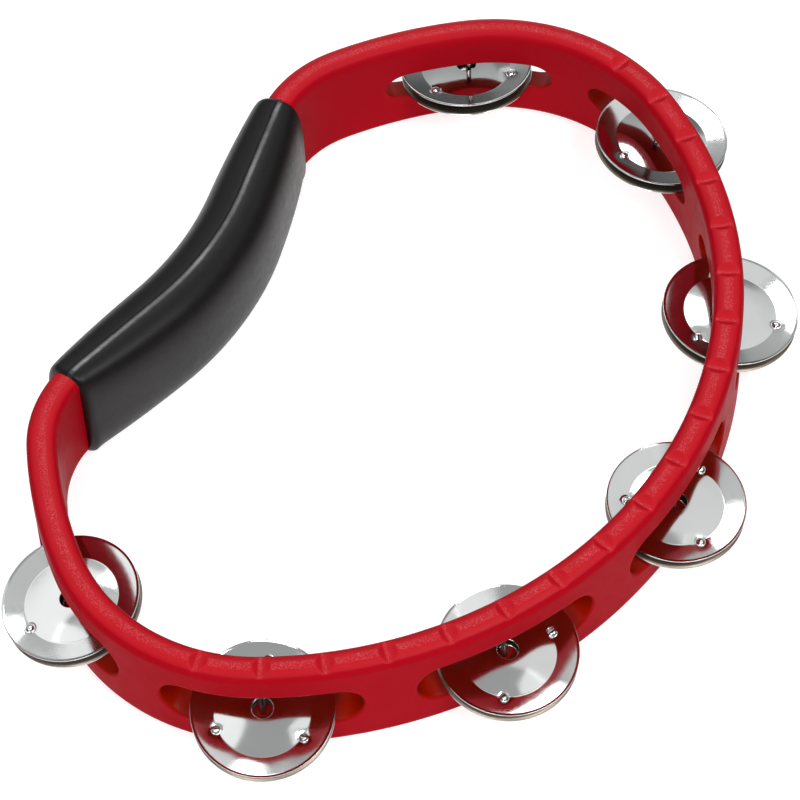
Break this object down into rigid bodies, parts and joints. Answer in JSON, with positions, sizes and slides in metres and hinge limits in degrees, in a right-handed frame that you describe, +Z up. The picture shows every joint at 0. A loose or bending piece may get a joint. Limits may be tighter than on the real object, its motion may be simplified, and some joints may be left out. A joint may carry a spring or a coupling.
{
  "type": "hand tambourine",
  "caption": "Crescent-shaped headless hand tambourine: a moulded hoop with pairs of steel jingles in slots and a soft-sleeved handle.",
  "frame": {"origin": "middle of the bounding box's base, level with the underside of the grip", "axes": "+Z up through the hoop, the grooved crest being its top; +X from the handle towards the middle of the bow; +Y along the handle"},
  "size_m": [0.2434, 0.3382, 0.046],
  "materials": {
    "frame_plastic": "satin red moulded plastic, spark-eroded on the crest",
    "grip_rubber": "matt black soft-touch elastomer",
    "jingle_steel": "polished pressed stainless steel",
    "pin_steel": "drawn steel wire"
  },
  "bodies": {
    "hoop": {"frame": "frame_plastic", "grip": "grip_rubber", "pin_1": "pin_steel", "pin_2": "pin_steel", "pin_3": "pin_steel", "pin_4": "pin_steel", "pin_5": "pin_steel", "pin_6": "pin_steel", "pin_7": "pin_steel"},
    "upper_1": {"jingle_upper_1": "jingle_steel"},
    "lower_1": {"jingle_lower_1": "jingle_steel"},
    "upper_2": {"jingle_upper_2": "jingle_steel"},
    "lower_2": {"jingle_lower_2": "jingle_steel"},
    "upper_3": {"jingle_upper_3": "jingle_steel"},
    "lower_3": {"jingle_lower_3": "jingle_steel"},
    "upper_4": {"jingle_upper_4": "jingle_steel"},
    "lower_4": {"jingle_lower_4": "jingle_steel"},
    "upper_5": {"jingle_upper_5": "jingle_steel"},
    "lower_5": {"jingle_lower_5": "jingle_steel"},
    "upper_6": {"jingle_upper_6": "jingle_steel"},
    "lower_6": {"jingle_lower_6": "jingle_steel"},
    "upper_7": {"jingle_upper_7": "jingle_steel"},
    "lower_7": {"jingle_lower_7": "jingle_steel"}
  },
  "joints": [
    {"name": "clap_1", "type": "slide", "parent": "hoop", "child": "upper_1", "axis": [0, 0, 1], "range_m": [0, 0.006]},
    {"name": "spin_1", "type": "hinge", "parent": "hoop", "child": "lower_1", "pos_m": [-0.0684, -0.13886, 0.01841], "axis": [-0.1141, -0.1529, 0.9816], "continuous": true},
    {"name": "clap_2", "type": "slide", "parent": "hoop", "child": "upper_2", "axis": [0, 0, 1], "range_m": [0, 0.0055]},
    {"name": "spin_2", "type": "hinge", "parent": "hoop", "child": "lower_2", "pos_m": [0.01309, -0.14413, 0.01818], "axis": [0.1082, -0.1875, 0.9763], "continuous": true},
    {"name": "clap_3", "type": "slide", "parent": "hoop", "child": "upper_3", "axis": [0, 0, 1], "range_m": [0, 0.0065]},
    {"name": "spin_3", "type": "hinge", "parent": "hoop", "child": "lower_3", "pos_m": [0.0747, -0.0831, 0.01857], "axis": [0.128, -0.0739, 0.989], "continuous": true},
    {"name": "clap_4", "type": "slide", "parent": "hoop", "child": "upper_4", "axis": [0, 0, 1], "range_m": [0, 0.0065]},
    {"name": "spin_4", "type": "hinge", "parent": "hoop", "child": "lower_4", "pos_m": [0.09656, -0.00066, 0.01897], "axis": [0.0976, 0, 0.9952], "continuous": true},
    {"name": "clap_5", "type": "slide", "parent": "hoop", "child": "upper_5", "axis": [0, 0, 1], "range_m": [0, 0.0065]},
    {"name": "spin_5", "type": "hinge", "parent": "hoop", "child": "lower_5", "pos_m": [0.07388, 0.08381, 0.01883], "axis": [0.1055, 0.0609, 0.9925], "continuous": true},
    {"name": "clap_6", "type": "slide", "parent": "hoop", "child": "upper_6", "axis": [0, 0, 1], "range_m": [0, 0.0065]},
    {"name": "spin_6", "type": "hinge", "parent": "hoop", "child": "lower_6", "pos_m": [0.01333, 0.14402, 0.01883], "axis": [0.0644, 0.1116, 0.9917], "continuous": true},
    {"name": "clap_7", "type": "slide", "parent": "hoop", "child": "upper_7", "axis": [0, 0, 1], "range_m": [0, 0.006]},
    {"name": "spin_7", "type": "hinge", "parent": "hoop", "child": "lower_7", "pos_m": [-0.06868, 0.13938, 0.01841], "axis": [-0.1111, 0.1488, 0.9826], "continuous": true}
  ]
}
